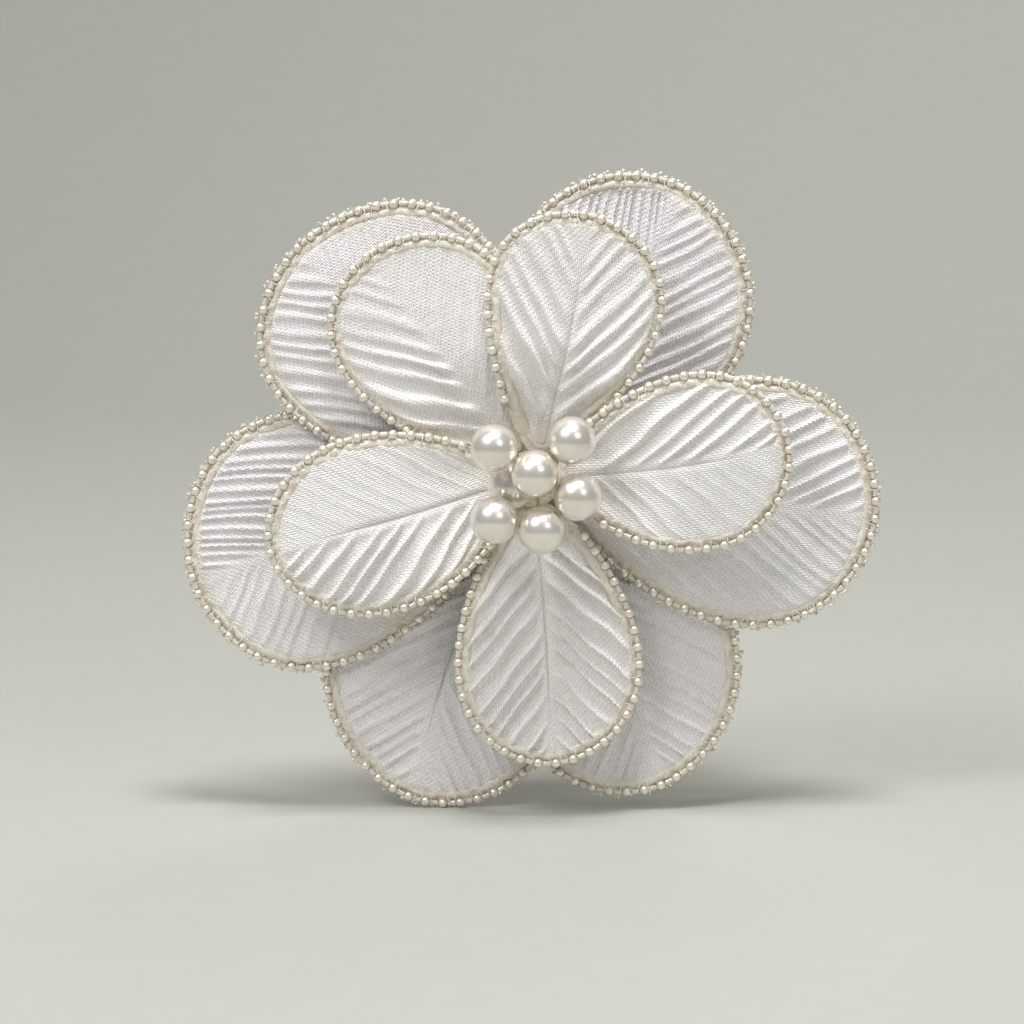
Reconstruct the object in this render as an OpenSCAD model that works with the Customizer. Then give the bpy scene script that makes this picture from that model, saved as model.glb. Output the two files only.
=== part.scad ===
// Beaded satin flower on a sprung alligator hair clip.
//
// Millimetres. +Z is up, the flower faces -Y and +X is to the viewer's right.
// The origin is on the flower's axis, in the plane where the clip's jaws close.
// Depths are measured forwards, along -Y, and turned into Y at the last moment.

/* [Back petals] */
// Length of a back petal, from the flower's axis to the beads at its tip
back_length = 58; // [50:0.5:70]
// Width of a back petal across its beads
back_width = 43; // [38:0.5:52]
// How far a back petal rises towards the viewer from its root to its blade
back_rise = 2; // [0:0.1:2.4]

/* [Front petals] */
// Length of a front petal, from the flower's axis to the beads at its tip
front_length = 46; // [38:0.5:56]
// Width of a front petal across its beads
front_width = 30; // [24:0.5:36]
// How far a front petal rises towards the viewer from its root to its blade
front_rise = 4.5; // [2.5:0.1:6]

/* [Petal cloth] */
// Thickness of a petal: satin, stiffening and lining pressed together
petal_t = 0.9; // [0.5:0.05:1.1]
// Distance from one tier of petals to the next
tier_step = 1.8; // [1.8:0.05:2.4]
// How far a petal's long sides curl back from its midrib
petal_cup = 0.8; // [0:0.05:0.8]
// Width of the cream binding round a petal
binding_w = 1.15; // [0.8:0.05:1.6]
// Thickness of the binding, front to back
binding_t = 1.2; // [0.9:0.05:1.3]

/* [Edge beads] */
// Diameter of the small pearls
pearl_d = 1.5; // [1.2:0.05:1.5]
// Diameter of the glass tube beads
glass_d = 1.1; // [0.8:0.05:1.4]
// Length of the glass tube beads
glass_l = 1.35; // [0.8:0.05:2]
// Diameter of the hole through an edge bead
bead_hole_d = 0.5; // [0.4:0.05:0.6]
// Diameter of the wire that the edge beads are strung on
bead_wire_d = 0.25; // [0.15:0.01:0.3]

/* [Centre pearls] */
// Diameter of the centre pearls
centre_pearl_d = 8; // [6:0.1:8]
// Distance from the face of the stem bundle to the ring of centre pearls
stem_reach = 10.8; // [10:0.1:14]
// Diameter of the wire stems behind the centre pearls
stem_d = 0.5; // [0.3:0.05:0.7]
// Diameter of the taped bundle that the stems and petals are bound to
bundle_d = 9.6; // [9:0.1:9.8]

/* [Backing] */
// Diameter of the stiff disc that the petals are glued to
disc_d = 30; // [24:1:44]
// Thickness of the stiff disc
disc_t = 1; // [0.6:0.1:2]
// Diameter of the felt cover behind the stiff disc
felt_d = 34; // [28:1:48]
// Thickness of the felt cover
felt_t = 1.2; // [0.8:0.1:2]

/* [Clip] */
// Distance from the jaw tips to the hinge
jaw_l = 42; // [30:0.5:52]
// Distance from the hinge to the end of the finger tail
tail_l = 18; // [14:0.5:22]
// Width of the upper arm
arm_w = 8; // [7:0.1:12]
// Thickness of the clip's sheet steel
arm_t = 0.8; // [0.6:0.05:0.9]
// Height of the hinge above the closing plane
hinge_h = 3; // [2.8:0.05:3.6]
// Diameter of the hinge pin
pin_d = 1.6; // [1.2:0.05:1.8]
// Angle of the finger tail when the jaws are shut
tail_angle = 32; // [28:1:38]
// Diameter of the spring wire
spring_wire_d = 0.6; // [0.4:0.05:0.65]

/* [Hidden] */
$fn = 32;
eps = 0.01;

// ---- petals: what differs from one to the next -------------------------------------------
// Direction of each midrib, anticlockwise from +X as the viewer sees it
back_angle = [135, 63, -7, -68, -110, 198];
front_angle = [125, 79, 9, -86, 195];
// How much longer and wider each petal is than its row's named size
back_longer = [-2.8, -3.5, 0, 0, 2, 2.2];
front_longer = [1, 0, -3, 2.5, -0.5];
back_wider = [0, -1.5, -1, -3, -1.5, 0.5];
front_wider = [1.5, -1, -0.5, 0.5, 0];
// How much fuller each petal is at its tip than at its root
back_full = [0.3, 0.15, 0.3, 0.2, 0.2, 0.35];
front_full = [0.35, 0.45, 0.25, 0.3, 0.15];
// How far each midrib bows sideways
back_bow = [-1, -1, 0, 1.5, -2, -1];
front_bow = [-0.5, -1, -0.5, 0.5, 0];
// The tier that each petal lies in, counted forwards from the disc
back_tier = [2, 0, 2, 1, 0, 1];
front_tier = [3, 4, 5, 3, 4];

root_r = 4.2; // where the bead line would close at the root, from the flower's axis
side_power = 1.1; // above 1, the outline is a little leaner than an ellipse
rise_from = 5; // the rise starts this far from the axis
rise_over = 20; // and is complete after this much more
bead_seat = 0.05; // clearance between a bead and what it lies against
bead_gap = 0.08; // clearance between neighbouring beads
bare_root = 9; // length of the outline at the root, each way, that carries no beads
wire_tail = 1.2; // how far the bead wire runs on past its last bead

// One record per petal: [angle, length, width, fullness, bow, tier, rise]
function back_row(i) = [back_angle[i], back_length + back_longer[i], back_width + back_wider[i],
    back_full[i], back_bow[i], back_tier[i], back_rise];
function front_row(i) = [front_angle[i], front_length + front_longer[i], front_width + front_wider[i],
    front_full[i], front_bow[i], front_tier[i], front_rise];

// ---- the stack from the closing plane forwards ---------------------------------------------
felt_back = arm_t;
disc_back = felt_back + felt_t;
disc_front = disc_back + disc_t;
glue_gap = 0.1; // between the disc and the lowest binding
first_tier = disc_front + binding_t / 2 + glue_gap;

// ---- the petal's outline and surface ---------------------------------------------------------
// The outline is in petal coordinates: u from the flower's axis to the tip, v across.
// t runs from 0 at the root round to 360.
function raw_side(p, t) = (1 - p[3] * cos(t)) * sign(sin(t)) * pow(abs(sin(t)), side_power);
function widest(p) = max([for (t = [60:2:130]) raw_side(p, t)]);
function along(p, t) = root_r + (p[1] - root_r) * (1 - cos(t)) / 2;
function midrib(p, u) = p[4] * sin(180 * (u - root_r) / (p[1] - root_r));
function bead_line(p, t) = let (u = along(p, t))
    [u, p[2] / 2 * raw_side(p, t) / widest(p) + midrib(p, u)];
function outward(p, t) = let (d = bead_line(p, t + 1) - bead_line(p, t - 1)) [-d.y, d.x] / norm(d);
// A point of the outline, set in from the bead line
function inset(p, t, by) = bead_line(p, t) - by * outward(p, t);

function smooth(x) = let (s = min(max(x, 0), 1)) s * s * (3 - 2 * s);
// How far forwards the middle of the cloth is at a point of the petal
function forward(p, q) = first_tier + p[5] * tier_step
    + p[6] * smooth((norm(q) - rise_from) / rise_over)
    - petal_cup * pow((q.y - midrib(p, q.x)) / (p[2] / 2), 2);
// A petal point in the part's frame, some way in front of the middle of the cloth
function place(p, q, front = 0) = [
    q.x * cos(p[0]) - q.y * sin(p[0]),
    -forward(p, q) - front,
    q.x * sin(p[0]) + q.y * cos(p[0])];

cloth_inset = pearl_d / 2 + bead_seat + binding_w; // where the cloth meets the binding
rows = 20; // rows of the cloth's grid along the petal
columns = 8; // and columns across it
row_t = [for (i = [0:rows]) 180 * i / rows];

// A row of the cloth's grid, from one side of the petal to the other
function cloth_row(p, t, front) = let (a = inset(p, -t, cloth_inset), b = inset(p, t, cloth_inset))
    [for (j = [0:columns]) place(p, a + (b - a) * j / columns, front)];

// The petal's cloth: two curved faces and the rim between them
module petal_cloth(p) {
    inner = [for (i = [1:rows - 1]) row_t[i]];
    n = len(inner);
    wide = columns + 1;
    faces_of = [for (side = [1, -1]) concat(
        [place(p, inset(p, 0, cloth_inset), side * petal_t / 2)],
        [for (t = inner) each cloth_row(p, t, side * petal_t / 2)],
        [place(p, inset(p, 180, cloth_inset), side * petal_t / 2)])];
    count = len(faces_of[0]);
    root = 0;
    tip = count - 1;
    function at(i, j) = 1 + i * wide + j;
    skin = concat(
        [for (j = [0:columns - 1]) [root, at(0, j + 1), at(0, j)]],
        [for (i = [0:n - 2], j = [0:columns - 1]) each [
            [at(i, j), at(i + 1, j + 1), at(i + 1, j)],
            [at(i, j), at(i, j + 1), at(i + 1, j + 1)]]],
        [for (j = [0:columns - 1]) [tip, at(n - 1, j), at(n - 1, j + 1)]]);
    rim = concat(
        [root], [for (i = [0:n - 1]) at(i, 0)],
        [tip], [for (i = [n - 1:-1:0]) at(i, columns)]);
    polyhedron(concat(faces_of[0], faces_of[1]), concat(
        skin,
        [for (f = skin) [f[0] + count, f[2] + count, f[1] + count]],
        [for (k = [0:len(rim) - 1]) let (a = rim[k], b = rim[(k + 1) % len(rim)]) each [
            [a, b + count, a + count], [a, b, b + count]]]));
}

// A closed ring swept round a petal through sections of the same number of corners
module swept_ring(sections) {
    n = len(sections);
    m = len(sections[0]);
    polyhedron([for (s = sections) each s], [for (i = [0:n - 1], j = [0:m - 1]) each
        let (a = i * m, b = (i + 1) % n * m, k = (j + 1) % m) [
            [a + j, b + k, b + j], [a + j, a + k, b + k]]]);
}

// The binding lies between the cloth's rim and the beads, on the same stations as the rim
module petal_binding(p) {
    stations = [for (i = [0:2 * rows - 1]) 180 * i / rows];
    outer = pearl_d / 2 + bead_seat;
    swept_ring([for (t = stations) [
        place(p, inset(p, t, cloth_inset), binding_t / 2),
        place(p, inset(p, t, outer), binding_t / 2),
        place(p, inset(p, t, outer), -binding_t / 2),
        place(p, inset(p, t, cloth_inset), -binding_t / 2)]]);
}

// ---- the beads ---------------------------------------------------------------------------------
fine = 2; // step of t, in degrees, at which the bead line's length is summed
function bead_point(p, t) = place(p, bead_line(p, t));
// [length so far, t] all round the bead line, for lookup()
function length_table(p) = [for (t = 0, s = 0; t <= 360;
    s = s + norm(bead_point(p, t + fine) - bead_point(p, t)), t = t + fine) [s, t]];

pitch = pearl_d + glass_l + 2 * bead_gap;
// Where the pearls sit, as lengths along the line: as many as the dressed length holds
function pearl_count(total) = floor((total - 2 * bare_root) / pitch);
function pearl_at(total, k) = total / 2 + (k - (pearl_count(total) - 1) / 2) * pitch;

// Turns +Z to a direction
module facing(d) {
    rotate([0, acos(d.z / norm(d)), atan2(d.y, d.x)]) children();
}

// Puts a bead on the line at length s, its hole along the line
module on_line(p, table, s) {
    t = lookup(s, table);
    translate(bead_point(p, t)) facing(bead_point(p, t + 1) - bead_point(p, t - 1)) children();
}

module drilled_pearl(d, hole_d) {
    difference() {
        sphere(d = d);
        cylinder(d = hole_d, h = d + 1, center = true, $fn = 16);
    }
}

module glass_tube() {
    difference() {
        cylinder(d = glass_d, h = glass_l, center = true);
        cylinder(d = bead_hole_d, h = glass_l + 1, center = true, $fn = 16);
    }
}

module petal_pearls(p) {
    table = length_table(p);
    total = table[len(table) - 1][0];
    for (k = [0:pearl_count(total) - 1])
        on_line(p, table, pearl_at(total, k)) drilled_pearl(pearl_d, bead_hole_d);
}

module petal_glass(p) {
    table = length_table(p);
    total = table[len(table) - 1][0];
    for (k = [0:pearl_count(total) - 2])
        on_line(p, table, pearl_at(total, k) + pitch / 2) glass_tube();
}

// A tube of square section along a line of points
module square_tube(points, d) {
    n = len(points);
    function heading(i) = points[min(i + 1, n - 1)] - points[max(i - 1, 0)];
    corners = [[1, 1], [-1, 1], [-1, -1], [1, -1]] * d / 2 * sqrt(0.5);
    sections = [for (i = [0:n - 1]) let (
        h = heading(i) / norm(heading(i)),
        a = cross(h, [0, 1, 0]) / norm(cross(h, [0, 1, 0])),
        b = cross(h, a))
        [for (c = corners) points[i] + a * c.x + b * c.y]];
    polyhedron([for (s = sections) each s], concat(
        [[0, 1, 2, 3]],
        [for (i = [0:n - 2], j = [0:3]) each let (a = 4 * i, b = 4 * i + 4, k = (j + 1) % 4) [
            [a + j, b + j, b + k], [a + j, b + k, a + k]]],
        [[for (j = [3:-1:0]) 4 * (n - 1) + j]]));
}

wire_steps = 56;
module bead_wire(p) {
    table = length_table(p);
    total = table[len(table) - 1][0];
    first = pearl_at(total, 0) - pearl_d / 2 - wire_tail;
    last = total - first;
    square_tube([for (i = [0:wire_steps])
        bead_point(p, lookup(first + (last - first) * i / wire_steps, table))], bead_wire_d);
}

// ---- the centre ----------------------------------------------------------------------------------
// Each centre pearl: its x, z and distance behind the ring, in pearl diameters, and then
// the x and z of its stem's foot, in bundle radii
centre_layout = [
    [-0.81, 0.91, 0, -0.33, 0.75],
    [0.8, 1.06, 0, 0.5, 0.67],
    [0.04, 0.38, -0.1, 0.12, 0.2],
    [0.925, -0.125, 0, 0.75, -0.08],
    [0.18, -0.825, 0, 0.17, -0.71],
    [-0.81, -0.61, 0, -0.25, -0.85],
    [-0.46, -0.01, 0.72, -0.54, 0.04]];
bundle_front = first_tier + 4 * tier_step;
centre_depth = bundle_front + stem_reach;
stem_sink = 2; // how deep a stem goes into its pearl and into the bundle
stem_clear = 0.05; // round a stem in its hole

function pearl_centre(c) = [c[0], c[2], c[1]] * centre_pearl_d - [0, centre_depth, 0];
function stem_foot(c) = [c[3] * bundle_d / 2, -bundle_front, c[4] * bundle_d / 2];
function stem_way(c) = (stem_foot(c) - pearl_centre(c)) / norm(stem_foot(c) - pearl_centre(c));

// A rod of diameter d along a stem's line, reaching past the pearl's middle and the bundle's face
module stem_line(c, d, past_pearl, past_face) {
    way = stem_way(c);
    from = pearl_centre(c) + way * (centre_pearl_d / 2 - past_pearl);
    to = stem_foot(c) + way * past_face;
    translate(from) facing(way) cylinder(d = d, h = norm(to - from), $fn = 16);
}

module centre_pearl_group() {
    for (c = centre_layout)
        difference() {
            translate(pearl_centre(c)) sphere(d = centre_pearl_d, $fn = 48);
            stem_line(c, stem_d + 2 * stem_clear, stem_sink + stem_clear, 0);
        }
}

module pearl_stem_group() {
    for (c = centre_layout)
        stem_line(c, stem_d, stem_sink, stem_sink);
}

// A disc about the flower's axis, between two depths
module depth_disc(d, back, front) {
    translate([0, -back, 0]) rotate([90, 0, 0]) cylinder(d = d, h = front - back, $fn = 64);
}

module taped_bundle() {
    difference() {
        depth_disc(bundle_d, disc_front, bundle_front);
        for (c = centre_layout)
            stem_line(c, stem_d + 2 * stem_clear, 0, stem_sink + stem_clear);
    }
}

// ---- the clip --------------------------------------------------------------------------------------
hinge_x = jaw_l / 2; // the gripping length is centred behind the flower
ear_gap = 0.3; // between an ear of the upper arm and one of the lower arm
lower_w = arm_w - 2 * arm_t - 2 * ear_gap; // width of the lower arm over its side walls
pin_clear = 0.05; // running clearance of the lower arm on the pin
bite_clear = 0.05; // what is left between the teeth and the upper arm when the jaws are shut
upper_rim = 1.1; // steel left round the pin's hole in an ear of the upper arm
lower_rim = 1.2; // and in an ear of the lower arm
upper_ear_r = pin_d / 2 + upper_rim;
lower_ear_r = pin_d / 2 + lower_rim;
channel_h = 3.4; // depth of the lower arm's channel, from the closing plane to its rear face
coil_slack = 0.5; // between the pin and the inside of the spring's coil
spring_r = pin_d / 2 + coil_slack + spring_wire_d / 2; // radius of the coil at the wire's middle
spring_clear = 0.05; // between the spring and the arms
tail_seat = spring_r + spring_wire_d / 2 + spring_clear; // from the hinge line to the tail's inside
neck_h = 1; // how far a lower ear's neck starts above the ear's lowest point
cheek_l = 10; // length of the cheeks that carry the tail, from the hinge line
tooth_start = 1.5; // from the jaw's tip to the middle of the first saw cut
tooth_pitch = 1.5;
tooth_land = 0.2; // width of a tooth's flat end
tooth_depth = 0.7;
tooth_count = 12;
head_t = 0.5; // thickness of the pin's heads
head_over = 0.5; // how far a head stands out over the pin

// A plate across the clip, width w, from x0 to x1 and y0 to y1
module plate(x0, x1, y0, y1, w) {
    translate([x0, y0, -w / 2]) cube([x1 - x0, y1 - y0, w]);
}

// A rod along Z on the hinge line
module hinge_rod(d, z0, z1) {
    translate([hinge_x, hinge_h, z0]) cylinder(d = d, h = z1 - z0);
}

module upper_arm() {
    tip_x = hinge_x - jaw_l + arm_w / 2;
    end_x = hinge_x + tail_l - arm_w / 2;
    difference() {
        union() {
            plate(tip_x, end_x, -arm_t, 0, arm_w);
            for (x = [tip_x, end_x])
                translate([x, 0, 0]) rotate([90, 0, 0]) cylinder(d = arm_w, h = arm_t, $fn = 48);
            for (z = [-arm_w / 2, arm_w / 2 - arm_t]) {
                hinge_rod(2 * upper_ear_r, z, z + arm_t);
                translate([hinge_x - upper_ear_r, -arm_t, z])
                    cube([2 * upper_ear_r, hinge_h + arm_t, arm_t]);
            }
        }
        hinge_rod(pin_d, -arm_w, arm_w);
    }
}

// The row of saw cuts along the bottom of a side wall
module tooth_cuts() {
    for (k = [0:tooth_count - 1])
        translate([hinge_x - jaw_l + tooth_start + k * tooth_pitch, bite_clear, -arm_w / 2])
            linear_extrude(arm_w) polygon([
                [(tooth_land - tooth_pitch) / 2, -eps],
                [(tooth_pitch - tooth_land) / 2, -eps],
                [0, tooth_depth]]);
}

module lower_side_walls() {
    wall_l = jaw_l - lower_ear_r;
    neck_from = hinge_h - lower_ear_r + neck_h;
    for (z = [-lower_w / 2, lower_w / 2 - arm_t]) translate([0, 0, z]) {
        translate([hinge_x - jaw_l, bite_clear, 0]) cube([wall_l, channel_h - bite_clear, arm_t]);
        // the neck from the channel to the ear
        translate([hinge_x - lower_ear_r - eps, neck_from, 0])
            cube([lower_ear_r, channel_h - neck_from, arm_t]);
        translate([hinge_x, hinge_h, 0]) cylinder(r = lower_ear_r, h = arm_t);
    }
}

module lower_tail() {
    translate([hinge_x, hinge_h, 0]) rotate([0, 0, tail_angle]) {
        plate(0, tail_l - lower_w / 2, tail_seat, tail_seat + arm_t, lower_w);
        translate([tail_l - lower_w / 2, tail_seat, 0]) rotate([-90, 0, 0])
            cylinder(d = lower_w, h = arm_t, $fn = 48);
        // the cheeks that carry the tail on the ears
        for (z = [-lower_w / 2, lower_w / 2 - arm_t])
            translate([0, 0, z]) cube([cheek_l, tail_seat + eps, arm_t]);
    }
}

module lower_arm() {
    difference() {
        union() {
            lower_side_walls();
            plate(hinge_x - jaw_l, hinge_x - lower_ear_r, channel_h - arm_t, channel_h, lower_w);
            lower_tail();
        }
        tooth_cuts();
        hinge_rod(pin_d + 2 * pin_clear, -arm_w, arm_w);
    }
}

module hinge_pin() {
    reach = arm_w / 2;
    hinge_rod(pin_d, -reach, reach);
    for (z = [-reach - head_t, reach])
        hinge_rod(pin_d + 2 * head_over, z, z + head_t);
}

// A round wire swept along a line of points, with flat ends across Z
spring_sides = 6;
module round_tube(points, d) {
    n = len(points);
    m = spring_sides;
    function heading(i) = points[min(i + 1, n - 1)] - points[max(i - 1, 0)];
    sections = [for (i = [0:n - 1]) let (
        h = heading(i) / norm(heading(i)),
        a = cross([0, 0, 1], h) / norm(cross([0, 0, 1], h)),
        b = cross(h, a))
        [for (j = [0:m - 1]) points[i] + (a * cos(360 * j / m) + b * sin(360 * j / m)) * d / 2]];
    polyhedron([for (s = sections) each s], concat(
        [[for (j = [0:m - 1]) j]],
        [for (i = [0:n - 2], j = [0:m - 1]) each let (a = m * i, b = m * i + m, k = (j + 1) % m) [
            [a + j, b + k, a + k], [a + j, b + j, b + k]]],
        [[for (j = [m - 1:-1:0]) m * (n - 1) + j]]));
}

coil_end_gap = 0.1; // between the coil and each wall of the lower arm
spring_turns = 4;
spring_leg = 10; // length of each leg beyond the coil
module spring() {
    // the coil's length between the lower arm's walls, at the wire's middle
    inside = lower_w - 2 * arm_t - spring_wire_d - 2 * coil_end_gap;
    swing = 360 * spring_turns + 180 - tail_angle; // the coil's whole turning
    steps = ceil(swing / 30);
    coil = [for (i = [0:steps]) let (a = -90 - swing * i / steps)
        [spring_r * cos(a), spring_r * sin(a), -inside / 2 + inside * i / steps]];
    drop = hinge_h - spring_r - spring_wire_d / 2 - spring_clear;
    first_leg = coil[0] + [spring_leg, -drop, 0];
    last_leg = coil[steps] + [cos(tail_angle), sin(tail_angle), 0] * spring_leg;
    translate([hinge_x, hinge_h, 0])
        round_tube(concat([first_leg], coil, [last_leg]), spring_wire_d);
}

// ---- colours and nodes --------------------------------------------------------------------------------
satin = "#ebeae8";
cream = "#e6d9c3";
pearl = "#efe9dd";
glass = "#e4e6dd";
steel = "#c4c6c8";
brass = "#b59b62";
felt = "#f1efea";

back_count = len(back_angle);
front_count = len(front_angle);

module dressed_petal(row_name, number, p) {
    tag = str("_", number);
    color(satin) petal_cloth(p);
    color(cream) petal_binding(p);
    color(pearl) petal_pearls(p);
    color(glass) petal_glass(p);
}

for (i = [0:back_count - 1]) dressed_petal("back", i + 1, back_row(i));
for (i = [0:front_count - 1]) dressed_petal("front", i + 1, front_row(i));
color(brass) for (i = [0:back_count - 1]) bead_wire(back_row(i));  // back_bead_wires
color(brass) for (i = [0:front_count - 1]) bead_wire(front_row(i));  // front_bead_wires
color(pearl) centre_pearl_group();  // centre_pearls
color(brass) pearl_stem_group();  // pearl_stems
color(cream) taped_bundle();  // stem_bundle
color(felt) depth_disc(disc_d, disc_back, disc_front);  // base_disc
color(felt) depth_disc(felt_d, felt_back, disc_back);  // felt_cover
color(steel) upper_arm();  // clip_upper_arm
color(steel) lower_arm();  // clip_lower_arm
color(steel) hinge_pin();  // clip_hinge_pin
color(steel) spring();  // clip_spring
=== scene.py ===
import math
import random
from collections import namedtuple

import bmesh
import bpy
import numpy as np
from mathutils import Matrix, Vector, noise


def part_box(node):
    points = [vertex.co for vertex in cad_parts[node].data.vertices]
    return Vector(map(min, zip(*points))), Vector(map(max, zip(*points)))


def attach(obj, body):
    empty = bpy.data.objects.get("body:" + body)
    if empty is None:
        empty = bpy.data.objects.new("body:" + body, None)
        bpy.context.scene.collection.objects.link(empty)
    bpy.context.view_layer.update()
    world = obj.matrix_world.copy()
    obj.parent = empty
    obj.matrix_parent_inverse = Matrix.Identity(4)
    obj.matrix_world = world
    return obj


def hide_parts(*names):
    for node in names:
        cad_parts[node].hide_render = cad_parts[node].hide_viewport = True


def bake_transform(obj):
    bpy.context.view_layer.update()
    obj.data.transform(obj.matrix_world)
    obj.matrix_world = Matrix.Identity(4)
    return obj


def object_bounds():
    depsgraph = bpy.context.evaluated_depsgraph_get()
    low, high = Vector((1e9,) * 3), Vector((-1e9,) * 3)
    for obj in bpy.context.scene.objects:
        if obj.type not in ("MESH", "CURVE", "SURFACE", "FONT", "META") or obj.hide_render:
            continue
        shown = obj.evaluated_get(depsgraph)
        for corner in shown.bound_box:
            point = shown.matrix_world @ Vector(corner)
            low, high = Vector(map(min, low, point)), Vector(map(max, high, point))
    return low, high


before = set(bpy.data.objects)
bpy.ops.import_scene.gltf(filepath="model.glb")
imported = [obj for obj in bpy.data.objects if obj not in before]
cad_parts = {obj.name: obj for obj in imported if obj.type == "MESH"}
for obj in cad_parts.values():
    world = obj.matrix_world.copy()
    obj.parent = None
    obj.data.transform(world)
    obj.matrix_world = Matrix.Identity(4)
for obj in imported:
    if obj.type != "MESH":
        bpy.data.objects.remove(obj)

MM = 0.001
CAD_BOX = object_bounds()
FORWARDS = Vector((0, -1, 0))  # the way the flower faces
FLOWER_MIDDLE = Vector((0, -10 * MM, 0))
SAME_PLACE = 1e-6  # metres between two points that are one


def add_object(name, data):
    """A new object at the origin that holds the data."""
    obj = bpy.data.objects.new(name, data)
    bpy.context.scene.collection.objects.link(obj)
    return obj


# ---- the stage, the lamps and the camera ----------------------------------------------------------

def make_sweep(floor_z):
    """A pale table that curves up into its backdrop."""
    width, near, far, height, round_r = 3.6, -1.10, 0.75, 1.5, 0.35  # in metres
    select_only()
    bpy.ops.mesh.primitive_plane_add(size=1)
    sweep = bpy.context.object
    sweep.name = "sweep"
    sweep.data.transform(Matrix.Translation((0, (near + far) / 2, floor_z))
                         @ Matrix.Diagonal((width, far - near, 1, 1)))
    bpy.ops.object.mode_set(mode="EDIT")
    # the far edge goes up, then the corner under it is rounded
    select_where(sweep, "EDGE", lambda e: all(v.co.y > far - MM for v in e.verts))
    bpy.ops.mesh.extrude_region_move(TRANSFORM_OT_translate={"value": (0, 0, height)})
    select_where(sweep, "EDGE", lambda e: all(
        v.co.y > far - MM and v.co.z < floor_z + MM for v in e.verts))
    bpy.ops.mesh.bevel(offset=round_r, segments=24)
    bpy.ops.object.mode_set(mode="OBJECT")
    bpy.ops.object.shade_smooth()
    return sweep


# The soft boxes: name, place in metres, side in metres, watts, colour
LAMPS = (
    ("key", (-0.34, -0.34, 0.50), 0.24, 1.85, (0.99, 0.994, 1.0)),
    ("top", (0.03, -0.15, 0.62), 0.17, 3.25, (0.985, 0.99, 1.0)),
    ("right", (0.33, -0.54, 0.40), 0.22, 0.5, (1.0, 0.99, 0.97)),
    ("back", (0.25, 0.55, 0.45), 0.40, 1.2, (1.0, 1.0, 1.0)),
)


def stand(obj, place, aim):
    """Puts a lamp or a camera at a place, turned towards the aim."""
    obj.location = place
    obj.rotation_euler = (Vector(aim) - Vector(place)).to_track_quat("-Z", "Y").to_euler()


def make_lamp(name, place, side, watts, colour):
    """A square soft box that shines on the flower."""
    data = bpy.data.lights.new(name, "AREA")
    data.size = side
    data.energy = watts
    data.color = colour
    stand(add_object(name, data), place, FLOWER_MIDDLE)


def light_the_stage():
    """The lamps, and an even light from all round that keeps the pearls' dark sides pale."""
    bpy.context.scene.view_settings.view_transform = "Standard"
    for lamp in LAMPS:
        make_lamp(*lamp)
    world = bpy.data.worlds.new("room")
    bpy.context.scene.world = world
    world.use_nodes = True
    background = world.node_tree.nodes["Background"].inputs
    background["Color"].default_value = (0.80, 0.80, 0.81, 1)
    background["Strength"].default_value = 0.34


def make_camera(aim, distance, elevation, lens):
    data = bpy.data.cameras.new("camera")
    data.lens = lens
    data.sensor_width = 36
    camera = add_object("camera", data)
    angle = math.radians(elevation)
    stand(camera, Vector(aim) + distance * Vector((0, -math.cos(angle), math.sin(angle))), aim)
    bpy.context.scene.camera = camera


# ---- materials ------------------------------------------------------------------------------------

class Wire:
    """A node's output. A sum on it adds Math nodes to its material."""

    def __init__(self, finish, socket):
        self.finish = finish
        self.socket = socket

    def output(self, number):
        return Wire(self.finish, self.socket.node.outputs[number])

    def maths(self, operation, first, second=0.0):
        return self.finish.node("Math", {"operation": operation}, {0: first, 1: second})

    def humps(self):
        """Rounded humps from 0 to 1, one to each whole step of the value."""
        return self.maths("ABSOLUTE", self.maths("SINE", self * math.pi))

    def __add__(self, other):
        return self.maths("ADD", self, other)

    def __radd__(self, other):
        return self.maths("ADD", other, self)

    def __sub__(self, other):
        return self.maths("SUBTRACT", self, other)

    def __rsub__(self, other):
        return self.maths("SUBTRACT", other, self)

    def __mul__(self, other):
        return self.maths("MULTIPLY", self, other)

    def __rmul__(self, other):
        return self.maths("MULTIPLY", other, self)

    def __truediv__(self, other):
        return self.maths("DIVIDE", self, other)


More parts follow.
